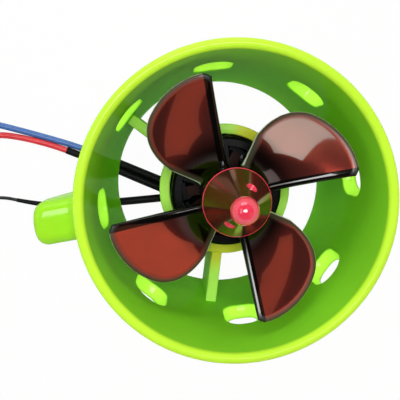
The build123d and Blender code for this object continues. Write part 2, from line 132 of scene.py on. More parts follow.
class ThrusterColours(bpy.types.PropertyGroup):
    lime: colour("Lime", "Outside of the nozzle, and the lug", (0.36, 0.78, 0.025))
    # Painted shade: a deeper green for the bore stands in for the shade inside the nozzle
    lime_bore_painted_shade: colour("Lime bore", "Inside of the nozzle", (0.27, 0.75, 0.03))
    # Painted highlight: a paler, yellower lime stands in for light on the rim
    lime_lip_painted_highlight: colour("Lime lip", "Lip of the nozzle", (0.56, 0.95, 0.045))
    # Painted glow: the windows' sides take this brighter colour and emit it
    lime_window_painted_glow: colour("Lime edge", "Sides of the windows", (0.5, 0.97, 0.07))
    pod: colour("Pod", "Cup and struts", (0.5, 0.9, 0.13))
    # Painted light: warm patches on the cup and struts
    pod_painted_warm_light: colour("Pod, warm", "Patches of the cup and struts", (0.7, 0.6, 0.03))
    red_metal: colour("Red metal", "Propeller's blades", (0.3, 0.035, 0.02))
    spinner: colour("Spinner", "Cone of the spinner nut", (0.3, 0.05, 0.03))
    # Painted shade at the blades' roots, and painted dark reflections along their straight edges
    shadow: colour("Shadow", "Straight edges and roots of the blades", (0.006, 0.005, 0.004))
    # Painted reflection: streaks of the surroundings on the spinner's cone
    spinner_painted_reflection: colour("Olive", "Streaks of the spinner's cone", (0.1, 0.075, 0.035))
    # Painted dark reflection along the blades' round edges
    blade_rim_painted_dark: colour("Blade rim", "Dull band along the round edge of a blade", (0.06, 0.046, 0.024))
    # Painted highlight: a pale line at the very edge
    edge_shine: colour("Edge shine", "Outermost line of the blades' round edges", (0.8, 0.75, 0.65))
    # Also painted as the highlights on the spinner's bead and in its cross hole
    ball: colour("Ball", "Ball on the spinner", (0.8, 0.04, 0.085))
    black: colour("Black", "Motor can and bell", (0.003, 0.003, 0.0035))
    sleeve: colour("Sleeve", "Shrink sleeves and ties", (0.006, 0.006, 0.007))
    blue: colour("Blue", "Blue lead", (0.05, 0.14, 0.45))
    red: colour("Red", "Red lead", (0.75, 0.03, 0.04))
    brass: colour("Brass", "Lug insert and connectors", (0.72, 0.5, 0.2))


class StudioSettings(bpy.types.PropertyGroup):
    tilt: angle("Tilt", "Between the view and the thruster's axis", 6.8)
    lean: angle("Lean", "Way that the axis leans in the picture, below its right", 52.8)
    roll: angle("Roll", "Turn of the thruster on its axis in the picture", 7.3)
    distance: length("Distance", "From the camera to the rim's plane", 160.0)
    focal_px: number("Focal length", "In pixels of the photograph", 729.0)
    picture_px: number("Picture", "Width of the photograph", 400.0)
    axis_px: pixel("View axis", "Pixel that the lens points at", (208.9, 182.9))
    rim_px: pixel("Rim centre", "Pixel of the rim's centre", (238.4, 203.8))
    key: number("Key", "Strength of the two white soft boxes", 1.0)
    fill: number("Fill", "Strength of the tinted soft boxes", 1.0)
    sky: number("Sky", "Brightness of the even light from above", 0.05)
    horizon: number("Horizon", "Brightness of the even light from all round", 0.9)


def settings():
    scene = bpy.context.scene
    return scene.thruster_sizes, scene.thruster_colours, scene.thruster_studio


# Node helpers

def new_material(name):
    material = bpy.data.materials.new(name)
    material.use_nodes = True
    return material, material.node_tree, material.node_tree.nodes["Principled BSDF"]


def node(tree, kind, inputs=None, **values):
    """A new node with its own values. Each input is given a plain value, or the output that feeds it."""
    made = tree.nodes.new("ShaderNode" + kind)
    for name, value in values.items():
        setattr(made, name, value)
    for socket, value in (inputs or {}).items():
        if isinstance(value, bpy.types.NodeSocket):
            tree.links.new(value, made.inputs[socket])
        else:
            made.inputs[socket].default_value = value
    return made


def calc(tree, operation, *values):
    """A Math node; a value is a number or another node's output."""
    return node(tree, "Math", dict(enumerate(values)), operation=operation).outputs["Value"]


def product(tree, share, *others):
    for other in others:
        share = calc(tree, "MULTIPLY", share, other)
    return share


def ramp(tree, value, low, high, start=0.0, end=1.0, kind="SMOOTHSTEP"):
    """From start where value is low to end where it is high, eased unless its kind is LINEAR."""
    span = {"Value": value, "From Min": low, "From Max": high, "To Min": start, "To Max": end}
    return node(tree, "MapRange", span, interpolation_type=kind).outputs["Result"]


def tinted(tree, share, base, rgb):
    """Mixes a colour over the base by share; the base is a colour or another node's output."""
    under = base if isinstance(base, bpy.types.NodeSocket) else (*base, 1)
    return node(tree, "Mix", {0: share, 6: under, 7: (*rgb, 1)}, data_type="RGBA").outputs[2]


def object_spot(tree):
    return node(tree, "TexCoord").outputs["Object"]


def away(tree, x, y):
    """How far the point (x, y) is from (0, 0)."""
    return calc(tree, "SQRT", calc(tree, "MULTIPLY_ADD", y, y, calc(tree, "MULTIPLY", x, x)))


def place_on_piece(tree):
    """The point's distance from the thruster's axis, and its height."""
    parts = node(tree, "SeparateXYZ", {"Vector": object_spot(tree)}).outputs
    return away(tree, parts["X"], parts["Y"]), parts["Z"]


def way_out(tree):
    """The level direction from the thruster's axis to the point, one long."""
    flat = node(tree, "VectorMath", {0: object_spot(tree), 1: (1, 1, 0)}, operation="MULTIPLY")
    return node(tree, "VectorMath", {0: flat.outputs["Vector"]}, operation="NORMALIZE").outputs["Vector"]


def new_group(name, inputs, outputs):
    """A node group, with what its first node gives and what its last one takes."""
    tree = bpy.data.node_groups.new(name, "ShaderNodeTree")
    for label, kind, default in inputs:
        socket = tree.interface.new_socket(label, in_out="INPUT", socket_type="NodeSocket" + kind)
        socket.default_value = default
    for label, kind in outputs:
        tree.interface.new_socket(label, in_out="OUTPUT", socket_type="NodeSocket" + kind)
    return tree, tree.nodes.new("NodeGroupInput").outputs, tree.nodes.new("NodeGroupOutput").inputs


def mottle_group():
    """Slow drift of a plastic's or metal's colour, with a value for its roughness to follow."""
    inputs = [("Colour", "Color", (0.5, 0.5, 0.5, 1)), ("Scale", "Float", 60.0), ("Amount", "Float", 0.1)]
    tree, given, out = new_group("mottle", inputs, [("Colour", "Color"), ("Value", "Float")])
    noise = node(tree, "TexNoise", {"Vector": object_spot(tree), "Scale": given["Scale"], "Detail": 4.0})
    drift = ramp(tree, noise.outputs["Fac"], 0.3, 0.7, -1.0, 1.0, "LINEAR")
    gain = calc(tree, "ADD", calc(tree, "MULTIPLY", drift, given["Amount"]), 1.0)
    shade = node(tree, "HueSaturation", {"Color": given["Colour"], "Value": gain})
    tree.links.new(shade.outputs["Color"], out["Colour"])
    tree.links.new(noise.outputs["Fac"], out["Value"])
    return tree


def ripple_group():
    """A faint unevenness of a moulded or polished surface, as a normal."""
    tree, given, out = new_group("ripple", [("Scale", "Float", 200.0), ("Height", "Float", 0.05)],
                                 [("Normal", "Vector")])
    noise = node(tree, "TexNoise", {"Vector": object_spot(tree), "Scale": given["Scale"]}).outputs["Fac"]
    bump = node(tree, "Bump", {"Height": noise, "Strength": given["Height"], "Distance": 0.1 * mm})
    tree.links.new(bump.outputs["Normal"], out["Normal"])
    return tree


def use_group(tree, name, **values):
    group = bpy.data.node_groups.get(name) or {"mottle": mottle_group, "ripple": ripple_group}[name]()
    return node(tree, "Group", values, node_tree=group).outputs


def coated(name, rgb, rough, scale=60.0, amount=0.08, bump=0.05, ripple=250.0, **plain):
    """A moulded or metal finish: drifting colour, roughness that follows it and a faint unevenness."""
    material, tree, shader = new_material(name)
    mottle = use_group(tree, "mottle", Colour=(*rgb, 1.0), Scale=scale, Amount=amount)
    uneven = use_group(tree, "ripple", Scale=ripple, Height=bump)
    follow = ramp(tree, mottle["Value"], 0.0, 1.0, rough * 0.8, rough * 1.25, "LINEAR")
    tree.links.new(mottle["Colour"], shader.inputs["Base Color"])
    tree.links.new(follow, shader.inputs["Roughness"])
    tree.links.new(uneven["Normal"], shader.inputs["Normal"])
    for label, value in plain.items():
        shader.inputs[label.replace("_", " ")].default_value = value
    return material


def masked(material, shaded, **masks):
    """Feeds a finish's own colours into its mottle group, and its masks into its shader."""
    tree = material.node_tree
    mottle = next(one for one in tree.nodes if one.type == "GROUP" and one.node_tree.name == "mottle")
    tree.links.new(shaded, mottle.inputs["Colour"])
    for label, mask in masks.items():
        tree.links.new(mask, tree.nodes["Principled BSDF"].inputs[label.replace("_", " ")])
    return material


# Mesh helpers

def deselect():
    bpy.ops.object.select_all(action="DESELECT")


def only(piece):
    deselect()
    piece.select_set(True)
    bpy.context.view_layer.objects.active = piece


def settle(piece):
    """Puts the object at the origin, with its place in its mesh."""
    only(piece)
    bpy.ops.object.transform_apply(location=True, rotation=True, scale=True)


def modified(piece, kind, **values):
    """Adds a modifier with its values, and applies it."""
    modifier = piece.modifiers.new(kind, kind)
    for name, value in values.items():
        setattr(modifier, name, value)
    only(piece)
    bpy.ops.object.modifier_apply(modifier=modifier.name)


def face_outwards(piece):
    only(piece)
    bpy.ops.object.mode_set(mode="EDIT")
    bpy.ops.mesh.select_all(action="SELECT")
    bpy.ops.mesh.normals_make_consistent(inside=False)
    bpy.ops.object.mode_set(mode="OBJECT")


def dress(piece, name, body, material, smooth=35.0):
    piece.name = name
    piece.data.name = name
    only(piece)
    bpy.ops.object.shade_smooth_by_angle(angle=radians(smooth))
    piece.data.materials.clear()
    piece.data.materials.append(material)
    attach(piece, body)


def refinish(name, material):
    """Gives a CAD node's own piece another finish."""
    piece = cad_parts[name]
    piece.data.materials.clear()
    piece.data.materials.append(material)
    return piece


def turned(profile, segments=160, closed=False):
    """A solid or ring turned on the axis: a circle extruded from one (radius, height) to the next."""
    deselect()
    (radius, height) = profile[0]
    bpy.ops.mesh.primitive_circle_add(vertices=segments, radius=radius, location=(0, 0, height))
    piece = bpy.context.object
    bpy.ops.object.mode_set(mode="EDIT")
    for (r0, z0), (r1, z1) in zip(profile, profile[1:]):
        bpy.ops.mesh.extrude_region_move(TRANSFORM_OT_translate={"value": (0, 0, z1 - z0)})
        bpy.ops.transform.resize(value=(r1 / r0, r1 / r0, 1), center_override=(0, 0, z1))
    bpy.ops.mesh.select_all(action="SELECT")
    if closed:
        bpy.ops.mesh.remove_doubles(threshold=0.001 * mm)
    else:
        bpy.ops.mesh.fill_holes(sides=segments)
    bpy.ops.object.mode_set(mode="OBJECT")
    face_outwards(piece)
    settle(piece)
    return piece


def stacked(count, rings, place):
    """A closed solid of rings: a cylinder extruded ring by ring, its points put at place(ring, spot)."""
    deselect()
    bpy.ops.mesh.primitive_cylinder_add(vertices=count, radius=1, depth=1, location=(0, 0, 0.5))
    piece = bpy.context.object
    settle(piece)
    bpy.ops.object.mode_set(mode="EDIT")
    bpy.ops.mesh.select_mode(type="FACE")
    bpy.ops.mesh.select_all(action="DESELECT")
    top = max(bmesh.from_edit_mesh(piece.data).faces, key=lambda face: face.calc_center_median().z)
    top.select = True
    for _ in range(rings - 2):
        bpy.ops.mesh.extrude_region_move(TRANSFORM_OT_translate={"value": (0, 0, 1)})
    bpy.ops.mesh.select_mode(type="VERT")
    bpy.ops.object.mode_set(mode="OBJECT")
    for point in piece.data.vertices:
        spot = round(atan2(point.co.y, point.co.x) / (2 * pi) * count) % count
        point.co = place(round(point.co.z), spot)
    face_outwards(piece)
    return piece


def corner(centre, radius, start, end, steps=6):
    """Points of an arc from one angle to another, in degrees, for a turned profile or an outline."""
    angles = [radians(start + (end - start) * step / steps) for step in range(steps + 1)]
    return [(centre[0] + radius * cos(a), centre[1] + radius * sin(a)) for a in angles]


def rounded(width, height, radius):
    """Points of a rounded rectangle about its middle, the same number for any size."""
    points = []
    for quarter, (x, y) in enumerate(((1, 1), (-1, 1), (-1, -1), (1, -1))):
        centre = (x * (width / 2 - radius), y * (height / 2 - radius))
        points += corner(centre, radius, 90 * quarter, 90 * quarter + 90)
    return points


def cut(piece, tool, operation="DIFFERENCE"):
    modified(piece, "BOOLEAN", operation=operation, solver="EXACT", object=tool)
    bpy.data.objects.remove(tool)


def drill(piece, radius, depth, place, rotation=(0, 0, 0)):
    deselect()
    bpy.ops.mesh.primitive_cylinder_add(vertices=48, radius=radius, depth=depth, location=place,
                                        rotation=rotation)
    cut(piece, bpy.context.object)


def bevelled(piece, width, segments=3, angle=35.0):
    modified(piece, "BEVEL", width=width, segments=segments, limit_method="ANGLE",
             angle_limit=radians(angle))


def spun(piece, angle):
    """Turns a piece on the thruster's axis."""
    piece.data.transform(Matrix.Rotation(angle, 4, "Z"))
    return piece


def copied(piece):
    twin = piece.copy()
    twin.data = piece.data.copy()
    bpy.context.collection.objects.link(twin)
    return twin


def joined(pieces):
    only(pieces[0])
    for piece in pieces:
        piece.select_set(True)
    bpy.ops.object.join()
    return pieces[0]


# Camera

class THRUSTER_OT_camera(bpy.types.Operator):
    """Places the camera where the photograph was taken from"""
    bl_idname = "thruster.camera"
    bl_label = "Camera"

    def execute(self, context):
        sizes, _, studio = settings()
        lens = bpy.data.cameras.new("camera")
        lens.sensor_fit = "HORIZONTAL"
        lens.lens = lens.sensor_width * studio.focal_px / studio.picture_px
        lens.shift_x = 0.5 - studio.axis_px[0] / studio.picture_px
        lens.shift_y = studio.axis_px[1] / studio.picture_px - 0.5
        lens.clip_start = 0.005
        slant = tan(studio.tilt)
        toward = Vector((slant * cos(studio.lean), -slant * sin(studio.lean), 1)).normalized()
        across = Vector((toward.z, 0, -toward.x)).normalized()
        upward = toward.cross(across)
        side = cos(studio.roll) * across + sin(studio.roll) * upward
        ahead = cos(studio.roll) * upward - sin(studio.roll) * across
        rim = Vector(((studio.rim_px[0] - studio.axis_px[0]) / studio.focal_px,
                      (studio.axis_px[1] - studio.rim_px[1]) / studio.focal_px, -1)) * studio.distance
        rim_height = nozzle_high.z - sizes.lip / 2
        origin = rim - rim_height * toward
        seen = Matrix.Translation(origin) @ Matrix((side, ahead, toward)).transposed().to_4x4()
        camera = bpy.data.objects.new("camera", lens)
        context.scene.collection.objects.link(camera)
        camera.matrix_world = seen.inverted()
        context.scene.camera = camera
        return {"FINISHED"}


# Leads: the points that each one's seen run follows, from the grommet to the start of its coil, in metres
blue_route = [
    (-0.0156, 0.00165), (-0.0210, 0.00475), (-0.0286, 0.00915), (-0.0355, 0.0129), (-0.0395, 0.0150),
    (-0.0439, 0.0170), (-0.0493, 0.0193), (-0.0549, 0.0216), (-0.0607, 0.0239), (-0.0671, 0.0261),
    (-0.0731, 0.0283)]
red_route = [
    (-0.0156, -0.00085), (-0.0220, 0.0028), (-0.0288, 0.0068), (-0.0357, 0.0107), (-0.0425, 0.0143),
    (-0.0482, 0.0170), (-0.0550, 0.0196), (-0.0610, 0.0212), (-0.0655, 0.0207), (-0.0692, 0.0165),
    (-0.0721, 0.0112)]
black_route = [
    (-0.0156, -0.0031), (-0.0265, -0.0028), (-0.0380, -0.0022), (-0.0485, -0.0012), (-0.0540, 0.0001),
    (-0.0588, 0.0017), (-0.0620, 0.0027), (-0.0659, 0.0032), (-0.0696, 0.0016), (-0.07175, -0.0027)]
sleeve_radius = 1.15 * mm
coil_end = -2.42  # the angle at which each coil ends, near its connector
coil_steps = 14  # points in each turn
coil_pitch = 2.05  # from one turn to the next, in radii of the lead


def curve_along(name, points, radius, material):
    shape = bpy.data.curves.new(name, "CURVE")
    shape.dimensions = "3D"
    line = shape.splines.new("NURBS")
    line.points.add(len(points) - 1)
    for spot, point in zip(line.points, points):
        spot.co = (*point, 1)
    line.order_u = 3
    line.use_endpoint_u = True
    shape.bevel_depth = radius
    shape.bevel_resolution = 6
    shape.resolution_u = 8
    shape.use_fill_caps = True
    shape.materials.append(material)
    piece = bpy.data.objects.new(name, shape)
    bpy.context.scene.collection.objects.link(piece)
    return piece


def coil_turns(low, high, radius, start, rows):
    """Turns wound clockwise beside and on each other. The last one ends on top, where the connector lies."""
    centre = (low + high) / 2
    outer = (high.x - low.x) / 2 - radius * 1.1
    points = []
    for step in range(round((2 * rows + (start - coil_end) / (2 * pi)) * coil_steps) + 1):
        lap = step // coil_steps
        row = lap // 2
        column = (lap + row) % 2
        height = low.z + radius + radius * coil_pitch * row
        if row == rows:
            column = 0.5
            height -= 0.3 * radius
        a = start - 2 * pi * step / coil_steps
        reach = outer - column * radius * coil_pitch
        points.append(Vector((centre.x + reach * cos(a), centre.y + reach * sin(a), height)))
    # The step from one turn to the next is eased over a quarter of a turn
    eased = [before * 0.25 + point * 0.5 + after * 0.25
             for before, point, after in zip(points, points[1:], points[2:])]
    return [points[0], *eased, points[-1]]


# A bullet connector's ferrule, waist and rounded tip, as shares of its radius and length
connector_outline = [
    (0.3, 0.0), (0.55, 0.0), (0.62, 0.02), (0.95, 0.07), (1.0, 0.09), (1.0, 0.5), (0.96, 0.52),
    (0.75, 0.54), (0.73, 0.57), (0.8, 0.7), (0.8, 0.86), (0.7, 0.94), (0.4, 0.995), (0.1, 1.0)]


def turned_connector(start, radius, long):
    """A bullet connector, turned and then laid along +Y."""
    piece = turned([(radius * wide, long * far) for wide, far in connector_outline], segments=40)
    piece.data.transform(Matrix.Translation(start) @ Matrix.Rotation(-pi / 2, 4, "X"))
    return piece


class THRUSTER_OT_leads(bpy.types.Operator):
    """Lays the three leads with their sleeves, ties and connectors"""
    bl_idname = "thruster.leads"
    bl_label = "Leads"

    def execute(self, context):
        colours = settings()[1]
        rubber = coated("shrink_sleeve", colours.sleeve, 0.45, scale=300, amount=0.25, bump=0.25, ripple=900,
                        Specular_IOR_Level=0.1)
        brass = coated("plated_brass", colours.brass, 0.24, scale=300, amount=0.1, Metallic=1.0)
        # Route, its points in the sleeve, radius, rows of the coil and where it starts, real length, colour
        leads = {
            "blue": (blue_route, 4, 0.9 * mm, 2, -1.95, 0.300, colours.blue),
            "red": (red_route, 5, 0.9 * mm, 2, -0.9, 0.300, colours.red),
            "black": (black_route, 6, 0.5 * mm, 3, 0.35, 0.280, colours.sleeve),
        }
        for name, (route, covered, radius, rows, start, real, rgb) in leads.items():
            low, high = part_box(name + "_coil")
            plug_low, plug_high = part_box(name + "_bullet")
            plug = Vector(((plug_low.x + plug_high.x) / 2, plug_low.y, (plug_low.z + plug_high.z) / 2))
            flat = [Vector((x, y, sleeve_radius if n < covered else radius))
                    for n, (x, y) in enumerate(route)]
            coil = coil_turns(low, high, radius, start, rows)
            rise = [plug + Vector((0, -1.4 * radius, 0)), plug + Vector((0, radius, 0))]
            insulation = coated(name + "_insulation", rgb, 0.32, scale=400, amount=0.1, bump=0.2, ripple=700)
            lead = curve_along(name + "_wire", flat + coil + rise, radius, insulation)
            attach(lead, "housing")
            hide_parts(name + "_lead", name + "_coil")
            sleeve = curve_along(name + "_shrink", flat[:covered], sleeve_radius, rubber)
            snug = 1.15 * radius / sleeve_radius
            for spot, share in zip(reversed(sleeve.data.splines[0].points), (0.0, 0.15, 0.5)):
                spot.radius = snug + (1 - snug) * share
            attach(sleeve, "housing")
            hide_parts(name + "_sleeve")
            bullet = turned_connector(plug, (plug_high.x - plug_low.x) / 2, plug_high.y - plug_low.y)
            dress(bullet, name + "_plug", "housing", brass)
            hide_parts(name + "_bullet")
            tie = refinish(name + "_tie", rubber)
        return {"FINISHED"}


# Nozzle

def arc_through(start, middle, end, steps):
    """Points of the arc through three (radius, height) points, from the first to the last."""
    (ax, ay), (bx, by), (cx, cy) = start, middle, end
    d = 2 * (ax * (by - cy) + bx * (cy - ay) + cx * (ay - by))
    ox = ((ax**2 + ay**2) * (by - cy) + (bx**2 + by**2) * (cy - ay) + (cx**2 + cy**2) * (ay - by)) / d
    oy = ((ax**2 + ay**2) * (cx - bx) + (bx**2 + by**2) * (ax - cx) + (cx**2 + cy**2) * (bx - ax)) / d
    centre = Vector((ox, oy))
    arm = Vector(start) - centre
    turn = -arm.angle_signed(Vector(end) - centre)
    return [tuple(centre + Matrix.Rotation(turn * step / steps, 2) @ arm) for step in range(steps + 1)]


def between(table, x):
    """The value at x in a list of (x, value) points in order."""
    for (x0, v0), (x1, v1) in zip(table, table[1:]):
        if x0 <= x <= x1:
            return v0 + (v1 - v0) * (x - x0) / (x1 - x0)
    return table[0][1] if x < table[0][0] else table[-1][1]


def inner_wall(sizes, z):
    rim_z = nozzle_high.z - sizes.lip / 2
    share = (z - nozzle_low.z) / (rim_z - nozzle_low.z)
    return sizes.exit_radius + (nozzle_high.x - sizes.lip - sizes.exit_radius) * share


def outer_arc(sizes):
    """The nozzle's outer side from its rim down to its exit, an arc through its belly."""
    belly = (inner_wall(sizes, sizes.belly_height) + sizes.belly_wall, sizes.belly_height)
    rim = (nozzle_high.x, nozzle_high.z - sizes.lip / 2)
    return arc_through(rim, belly, (sizes.exit_radius + sizes.exit_wall, nozzle_low.z), 36)


def nozzle_wall(sizes):
    edge = 0.3 * mm
    lip = sizes.lip / 2
    arc = outer_arc(sizes)
    exit_out = arc[-1][0]
    start = nozzle_low.z + edge
    profile = [(inner_wall(sizes, z), z) for z in
               [start + (nozzle_high.z - lip - nozzle_low.z - edge) * n / 26 for n in range(26)]]
    profile += corner((nozzle_high.x - lip, nozzle_high.z - lip), lip, 180, 0, 14)
    profile += arc[1:-1]
    profile += corner((exit_out - edge, start), edge, 0, -90, 3)
    profile += corner((sizes.exit_radius + edge, start), edge, -90, -180, 3)[:-1]
    return turned(profile + profile[:1], segments=192, closed=True)


def flared(radius, angles):
    """Steps of a rounded foot or edge: how far from its start each one lies, and how much wider it is."""
    start = radians(angles[0])
    return [(radius * (cos(start) - cos(a)), radius * (1 - sin(a))) for a in map(radians, angles)]


def window_cutter(sizes, angle, outer, through):
    """Cuts one window straight through the wall, flared where it meets the inner and the outer face."""
    beyond = 1.0 * mm
    eased = flared(sizes.window_flare, (35, 50, 65, 80, 90))
    widest = eased[0][1]
    # Each ring of the cutter: the face that it is measured from, how far out of it, and how much wider
    stations = [("in", -beyond, widest)] + [("in", deep, grown) for deep, grown in eased]
    if through:
        draft = sizes.window_draft
        stations += [("out", -deep / 3, grown / 3 - draft) for deep, grown in reversed(eased)]
        stations += [("out", beyond, widest / 3 - draft)]
    else:
        stations += [("in", sizes.belly_wall, 0.0)]
    outlines = [rounded(sizes.window_width + 2 * grown, sizes.window_height + 2 * grown,
                        sizes.window_corner + grown) for _, _, grown in stations]

    def place(ring, spot):
        side, deep, _ = stations[ring]
        across, up = outlines[ring][spot]
        z = sizes.belly_height + up
        face = inner_wall(sizes, z) if side == "in" else between(outer, z)
        out = sqrt(face**2 - across**2) + deep
        return Vector((out * cos(angle) - across * sin(angle), out * sin(angle) + across * cos(angle), z))

    return stacked(len(outlines[0]), len(stations), place)


def lug_piece(sizes, outer):
    """The lug: rounded rectangles from the wall's curve out to the flat end. Its underside is hollow."""
    reach = -nozzle_low.x
    base = between(outer, sizes.lug_top)
    heel = arc_through((sizes.lug_low_reach, sizes.lug_low), (sizes.lug_heel_reach, sizes.lug_heel),
                       (reach, sizes.lug_top - sizes.lug_end), 40)
    under = [((x - between(outer, z)) / (reach - between(outer, z)), z) for x, z in heel]
    foot = flared(sizes.lug_foot, (25, 35, 45, 55, 65, 75, 90))
    # Each ring: how far out, how much wider at the foot, how much narrower and lower at the end
    sunk = 0.9 * mm
    rings = [(-sunk, foot[0][1], 0.0, 0.0)] + [(out, grown, 0.0, 0.0) for out, grown in foot]
    straight = reach - base - sizes.lug_round - foot[-1][0]
    rings += [(foot[-1][0] + straight * n / 8, 0.0, 0.0, 0.0) for n in range(1, 8)]
    for a in map(radians, range(0, 91, 9)):
        short = sizes.lug_round * (1 - sin(a))
        thin = max(sizes.lug_edge - short, 0)
        rings.append((reach - base - short, 0.0, sizes.lug_round * (1 - cos(a)),
                      sizes.lug_edge - sqrt(sizes.lug_edge**2 - thin**2)))

    def place(ring, spot):
        out, grown, narrow, low = rings[ring]
        share = out / (reach - base)
        bottom = between(under, share) - grown + low
        top = sizes.lug_top + grown - low
        wide = sizes.lug_width + 2 * grown - 2 * narrow
        crown = min(sizes.lug_crown, wide * 0.49, (top - bottom) * 0.49)
        across, up = rounded(wide, top - bottom, crown)[spot]
        z = (top + bottom) / 2 + up
        y = across - max(share, 0) * sizes.lug_lean
        x = (1 - share) * sqrt(between(outer, z)**2 - y**2) + share * reach
        return Vector((-x, y, z))

    spots = len(rounded(1, 1, 0))
    return stacked(spots, len(rings), place)


class THRUSTER_OT_nozzle(bpy.types.Operator):
    """Turns the nozzle, joins its lug to it and cuts its windows"""
    bl_idname = "thruster.nozzle"
    bl_label = "Nozzle"

    def execute(self, context):
        sizes, colours, _ = settings()
        windows = 8
        beside_lug = 4
        outer = [(z, r) for r, z in reversed(outer_arc(sizes))]
        nozzle = nozzle_wall(sizes)
        cut(nozzle, lug_piece(sizes, outer), "UNION")
        cutters = [window_cutter(sizes, 2 * pi * n / windows, outer, n != beside_lug)
                   for n in range(windows)]
        cut(nozzle, joined(cutters))
        bore = (insert_high.z - insert_low.z) / 2
        drill(nozzle, bore, 2 * (insert_high.x - insert_low.x),
              (insert_low.x, 0, (insert_high.z + insert_low.z) / 2), (0, pi / 2, 0))
        dress(nozzle, "nozzle_shell", "housing", lime_plastic(sizes, colours))
        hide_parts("nozzle")
        return {"FINISHED"}


# Motor pod

def strut_piece(sizes, root):
    """A strut that stands in the cup's wall and reaches just into the nozzle's."""
    seat = 0.12 * mm
    low = nozzle_low.z + 1.0 * mm
    deselect()
    bpy.ops.mesh.primitive_cube_add(size=1, location=(0.5, 0, 0.5))
    strut = bpy.context.object
    settle(strut)
    for point in strut.data.vertices:
        z = low + (sizes.strut_top - low) * point.co.z
        end = inner_wall(sizes, z) + seat
        point.co = (root + (end - root) * point.co.x, sizes.strut_width * point.co.y, z)
    bevelled(strut, 0.4 * mm)
    return strut


class THRUSTER_OT_pod(bpy.types.Operator):
    """Turns the cup round the motor, joins its struts to it and cuts its slot and screw holes"""
    bl_idname = "thruster.pod"
    bl_label = "Motor Pod"

    def execute(self, context):
        sizes, colours, _ = settings()
        top = pod_high.z
        wide = sizes.cup_radius
        bore = wide - sizes.cup_wall
        tail = wide - sizes.cup_taper
        edge = 0.45 * mm
        heel = 1.2 * mm
        floor = 3 * mm
        well = 4.6 * mm
        well_floor = 0.9 * mm
        middle = 14 * mm
        axis = 0.1 * mm
        profile = [(axis, well_floor), (well, well_floor), (well, floor), (bore, floor), (bore, middle)]
        profile += corner((bore + edge, top - edge), edge, 180, 90, 4)
        profile += corner((wide - edge, top - edge), edge, 90, 0, 4)
        profile += [(wide + (tail - wide) * n / 10, top + (heel - top) * n / 10) for n in range(1, 10)]
        profile += corner((tail - heel, heel), heel, 0, -90, 6)
        profile += [(axis, 0.0)]
        pod = turned(profile, segments=128)
        for angle in (16.3, 136.3, 256.3):
            cut(pod, spun(strut_piece(sizes, (wide + bore) / 2), radians(angle)), "UNION")
        # The slot for the leads, and the deeper seat of the grommet at its inner end, in millimetres
        for low, high, half, tall in ((-20, -10.5, 4.2, 2.4), (-13.3, -10.5, 4.2, 3.5)):
            deselect()
            bpy.ops.mesh.primitive_cube_add(size=1, location=((low + high) / 2 * mm, 0, (tall - 1) / 2 * mm),
                                            scale=((high - low) * mm, 2 * half * mm, (tall + 1) * mm))
            cut(pod, context.object)
        # The holes of the four base screws, and the wider ones for their heads
        screws = 9.5 * mm
        for a in map(radians, (45, 135, 225, 315)):
            for radius, tall in ((1.6, 3.5), (2.9, 1.8)):
                place = (screws * cos(a), screws * sin(a), (tall - 1) / 2 * mm)
                drill(pod, radius * mm, (tall + 1) * mm, place)
        dress(pod, "motor_cup", "housing", pod_plastic(sizes, colours))
        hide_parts("motor_pod")
        return {"FINISHED"}


# Propeller and spinner

# Outline of a blade: degrees from its straight edge, and reach as a share of the propeller's radius
blade_outline = [(0.0, 0.963), (3.0, 0.995), (9.0, 1.0), (19.0, 0.983), (30.0, 0.94), (39.0, 0.883),
                 (46.5, 0.787), (52.0, 0.667), (56.0, 0.533)]
blade_turn = blade_outline[-1][0]
blade_count = 4
first_blade = 94  # degrees from +X to the first blade's straight edge


def flowing(table, x):
    """The value at x of the smooth curve through a list of (x, value) points."""
    count = len(table)
    k = max(n for n in range(count - 1) if table[n][0] <= x + 1e-9)
    (x0, v0), (x1, v1) = table[k], table[k + 1]
    before = table[k - 1] if k else (2 * x0 - x1, 2 * v0 - v1)
    after = table[k + 2] if k + 2 < count else (2 * x1 - x0, 2 * v1 - v0)
    m0 = (v1 - before[1]) / (x1 - before[0]) * (x1 - x0)
    m1 = (after[1] - v0) / (after[0] - x0) * (x1 - x0)
    t = (x - x0) / (x1 - x0)
    return (2 * t**3 - 3 * t**2 + 1) * v0 + (t**3 - 2 * t**2 + t) * m0 + (3 * t**2 - 2 * t**3) * v1 \
        + (t**3 - t**2) * m1


def blade_reach(turn):
    """How far from the axis a blade reaches, so many degrees from its straight edge."""
    return prop_high.x * flowing(blade_outline, turn)


def to_round_edge(r, turn):
    """How far a point of a blade is from its round edge."""
    end = blade_reach(turn)
    slope = (blade_reach(min(turn + 0.5, blade_turn)) - blade_reach(max(turn - 0.5, 0))) / radians(1)
    return min((end - r) / sqrt(1 + (slope / end)**2), r * radians(blade_turn - turn))


def keep_distances(piece, sizes):
    """Keeps on each point its distance from the blades' edges in millimetres, for the finish to read."""
    on_hub = 9.0  # past the reach of the finish's bands
    behind = 15  # degrees behind a straight edge that still count as its blade
    from_straight, from_round = [], []
    for point in piece.data.vertices:
        r = sqrt(point.co.x**2 + point.co.y**2)
        turn = degrees(atan2(point.co.y, point.co.x)) - first_blade + behind
        turn = turn % (360 / blade_count) - behind
        turn = min(max(turn, 0), blade_turn)
        on_blade = r > sizes.hub_radius + 0.3 * mm
        from_straight.append(r * radians(turn) / mm if on_blade else on_hub)
        from_round.append(max(to_round_edge(r, turn), 0) / mm if on_blade else on_hub)
    for name, distances in (("straight_edge", from_straight), ("round_edge", from_round)):
        piece.data.attributes.new(name, "FLOAT", "POINT")
        piece.data.attributes[name].data.foreach_set("value", distances)


